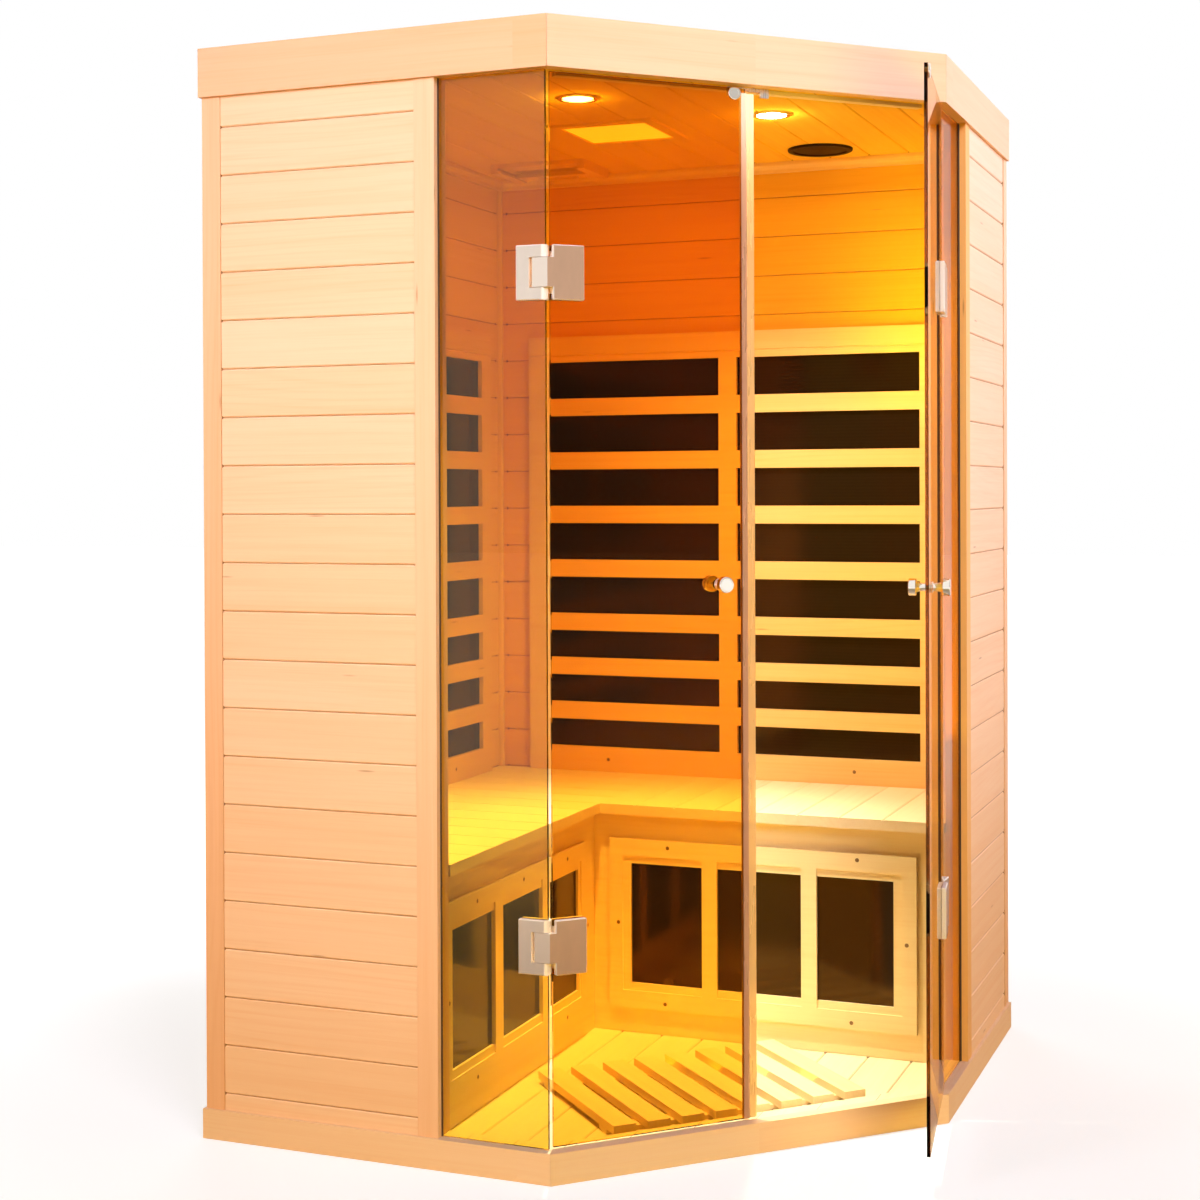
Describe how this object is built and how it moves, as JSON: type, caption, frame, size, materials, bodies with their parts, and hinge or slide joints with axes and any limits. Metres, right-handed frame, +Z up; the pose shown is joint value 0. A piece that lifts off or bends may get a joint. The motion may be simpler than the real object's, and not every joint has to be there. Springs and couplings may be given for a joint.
{
  "type": "infrared sauna cabin",
  "caption": "Corner infrared sauna cabin in pale boards, with swinging glass doors across the cut corner, slatted heater guards, an L-shaped bench, a duckboard and ceiling lamps.",
  "frame": {"origin": "centre of the square plan, on the underside of the floor", "axes": "+Z up; +Y towards the rear wall, -X towards the side wall; the doors face between +X and -Y"},
  "size_m": [1.2642, 1.2, 1.9],
  "materials": {
    "pale_wood": "smooth, unvarnished",
    "warm_wood": "smooth, unvarnished",
    "tinted_glass": "clear, light bronze tint",
    "satin_steel": "satin",
    "chrome": "polished",
    "clear_seal": "translucent",
    "heater_panel": "smooth dark laminate",
    "black_plastic": "matt",
    "lamp_diffuser": "lit, white",
    "grey_steel": "matt"
  },
  "bodies": {
    "cabin": {"floor_panel": "pale_wood", "plinth_left": "pale_wood", "plinth_front": "pale_wood", "plinth_right": "pale_wood", "cornice_left": "pale_wood", "cornice_front": "pale_wood", "cornice_right": "pale_wood", "roof_cover": "pale_wood", "left_corner_post": "pale_wood", "left_panel": "pale_wood", "left_jamb_post": "pale_wood", "right_jamb_post": "pale_wood", "right_panel": "pale_wood", "right_corner_post": "pale_wood", "header_stop": "pale_wood", "duckboard": "pale_wood", "ceiling_panel": "warm_wood", "rear_panel": "warm_wood", "side_panel": "warm_wood", "side_heater_guard": "warm_wood", "rear_heater_guard": "warm_wood", "side_bench_top": "warm_wood", "rear_bench_top": "warm_wood", "side_bench_front": "warm_wood", "rear_bench_front": "warm_wood", "vent_frame": "warm_wood", "left_fixed_glass": "tinted_glass", "right_fixed_glass": "tinted_glass", "side_heater": "heater_panel", "rear_heater": "heater_panel", "side_calf_heater": "heater_panel", "rear_calf_heater": "heater_panel", "magnetic_catch": "satin_steel", "speaker": "black_plastic", "lamp_panel": "lamp_diffuser", "left_downlight": "chrome", "right_downlight": "chrome", "power_unit": "grey_steel", "left_upper_hinge_fixed_leaf": "satin_steel", "left_upper_hinge_pin": "satin_steel", "left_lower_hinge_fixed_leaf": "satin_steel", "left_lower_hinge_pin": "satin_steel", "right_upper_hinge_fixed_leaf": "satin_steel", "right_upper_hinge_pin": "satin_steel", "right_lower_hinge_fixed_leaf": "satin_steel", "right_lower_hinge_pin": "satin_steel"},
    "left_door": {"left_door_glass": "tinted_glass", "left_outer_knob": "chrome", "left_inner_knob": "chrome", "left_strike": "chrome", "left_upper_hinge_door_leaf": "satin_steel", "left_lower_hinge_door_leaf": "satin_steel", "left_door_seal": "clear_seal"},
    "right_door": {"right_door_glass": "tinted_glass", "right_outer_knob": "chrome", "right_inner_knob": "chrome", "right_strike": "chrome", "right_upper_hinge_door_leaf": "satin_steel", "right_lower_hinge_door_leaf": "satin_steel"},
    "vent_shutter": {"vent_slider": "warm_wood"}
  },
  "joints": [
    {"name": "left_door_swing", "type": "hinge", "parent": "cabin", "child": "left_door", "pos_m": [0.04089, -0.578, 0.9], "axis": [0, 0, -1], "range_deg": [0, 90]},
    {"name": "right_door_swing", "type": "hinge", "parent": "cabin", "child": "right_door", "pos_m": [0.578, -0.04089, 0.9], "axis": [0, 0, 1], "range_deg": [-53, 37]},
    {"name": "vent_slide", "type": "slide", "parent": "cabin", "child": "vent_shutter", "axis": [0, -1, 0], "range_m": [0, 0.044]}
  ]
}
